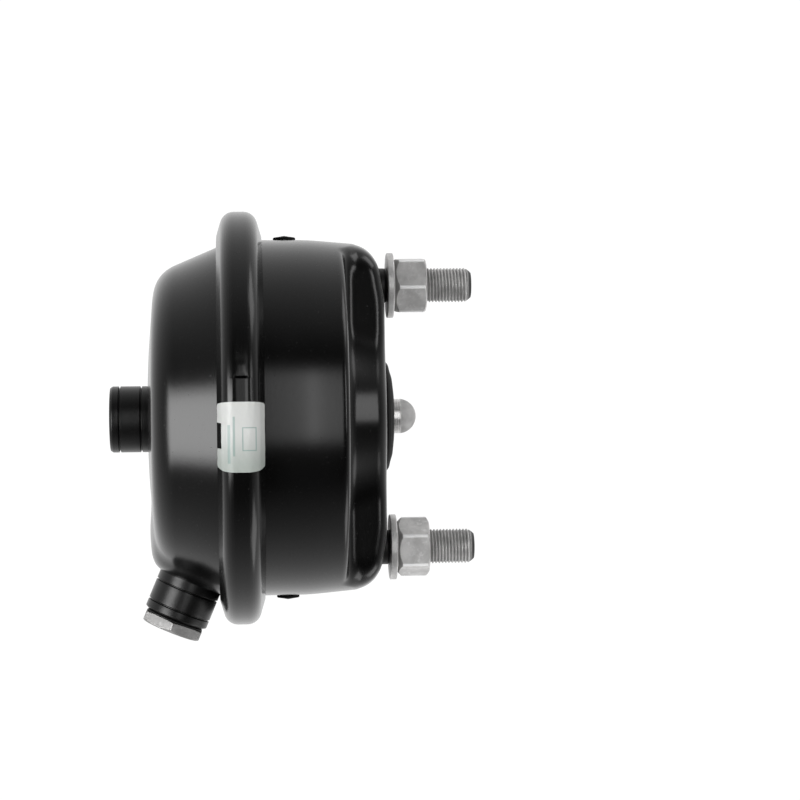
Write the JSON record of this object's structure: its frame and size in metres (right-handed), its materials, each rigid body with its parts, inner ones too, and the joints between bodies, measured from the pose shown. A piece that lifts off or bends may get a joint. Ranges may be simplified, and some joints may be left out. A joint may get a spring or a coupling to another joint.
{
  "type": "air brake chamber",
  "caption": "Service diaphragm brake chamber: two pressed shells in a rolled clamp ring, ball-ended pushrod, mounting studs with nuts, and two threaded air ports.",
  "frame": {"origin": "centre of the mounting face, on the chamber's axis", "axes": "+X along the chamber's axis, the way the pushrod travels; +Z towards the upper stud"},
  "size_m": [0.1665, 0.1902, 0.197],
  "materials": {
    "black_paint": "satin black electrocoat on pressed steel",
    "zinc": "dull zinc plate",
    "seal": "matt sealing ring",
    "label": "white film, slightly glossy",
    "rubber": "matt moulded rubber",
    "plate_steel": "zinc plated pressed steel",
    "rod_steel": "turned steel, dull zinc",
    "phosphate": "grey zinc flake on steel",
    "spring_steel": "dark spring steel, painted"
  },
  "bodies": {
    "housing": {"rear_cover": "black_paint", "rear_port_boss": "black_paint", "lower_port_boss": "black_paint", "front_housing": "black_paint", "clamp_ring": "black_paint", "ring_label": "label", "diaphragm": "rubber", "stud_plate": "plate_steel", "upper_stud": "phosphate", "lower_stud": "phosphate", "boot": "rubber", "boot_retainer": "plate_steel", "return_spring": "spring_steel"},
    "pushrod": {"pushrod": "rod_steel", "piston_plate": "plate_steel"},
    "upper_washer": {"upper_washer": "phosphate"},
    "upper_nut": {"upper_nut": "phosphate"},
    "lower_washer": {"lower_washer": "phosphate"},
    "lower_nut": {"lower_nut": "phosphate"},
    "plug_seal": {"plug_seal": "seal"},
    "port_plug": {"port_plug": "zinc"},
    "upper_drain_plug": {"upper_drain_plug": "rubber"},
    "lower_drain_plug": {"lower_drain_plug": "rubber"}
  },
  "joints": [
    {"name": "pushrod_stroke", "type": "slide", "parent": "housing", "child": "pushrod", "axis": [1, 0, 0], "range_m": [0, 0.057], "stiffness_N_per_m": 3000, "springref_m": -0.03, "deforming": ["diaphragm", "boot", "return_spring"]},
    {"name": "upper_washer_slide", "type": "slide", "parent": "housing", "child": "upper_washer", "axis": [1, 0, 0], "range_m": [-0.0019, 0.036]},
    {"name": "upper_nut_turn", "type": "hinge", "parent": "upper_washer", "child": "upper_nut", "pos_m": [0.0127, 0, 0.06032], "axis": [1, 0, 0], "range_deg": [-456, 8640]},
    {"name": "lower_washer_slide", "type": "slide", "parent": "housing", "child": "lower_washer", "axis": [1, 0, 0], "range_m": [-0.0019, 0.036]},
    {"name": "lower_nut_turn", "type": "hinge", "parent": "lower_washer", "child": "lower_nut", "pos_m": [0.0127, 0, -0.06032], "axis": [1, 0, 0], "range_deg": [-456, 8640]},
    {"name": "plug_lift", "type": "slide", "parent": "housing", "child": "plug_seal", "axis": [-0.3907, 0, -0.9205], "range_m": [0, 0.0135]},
    {"name": "plug_turn", "type": "hinge", "parent": "plug_seal", "child": "port_plug", "pos_m": [-0.09808, 0, -0.09491], "axis": [-0.3907, 0, -0.9205], "range_deg": [0, 3240]},
    {"name": "upper_drain_pull", "type": "slide", "parent": "housing", "child": "upper_drain_plug", "axis": [0, 0, 1], "range_m": [0, 0.008]},
    {"name": "lower_drain_pull", "type": "slide", "parent": "housing", "child": "lower_drain_plug", "axis": [0, 0, -1], "range_m": [0, 0.008]}
  ],
  "couplings": [
    {"joint": "upper_washer_slide", "follows": "upper_nut_turn", "m_per_rad": 0.00023873},
    {"joint": "lower_washer_slide", "follows": "lower_nut_turn", "m_per_rad": 0.00023873},
    {"joint": "plug_lift", "follows": "plug_turn", "m_per_rad": 0.00023873}
  ]
}
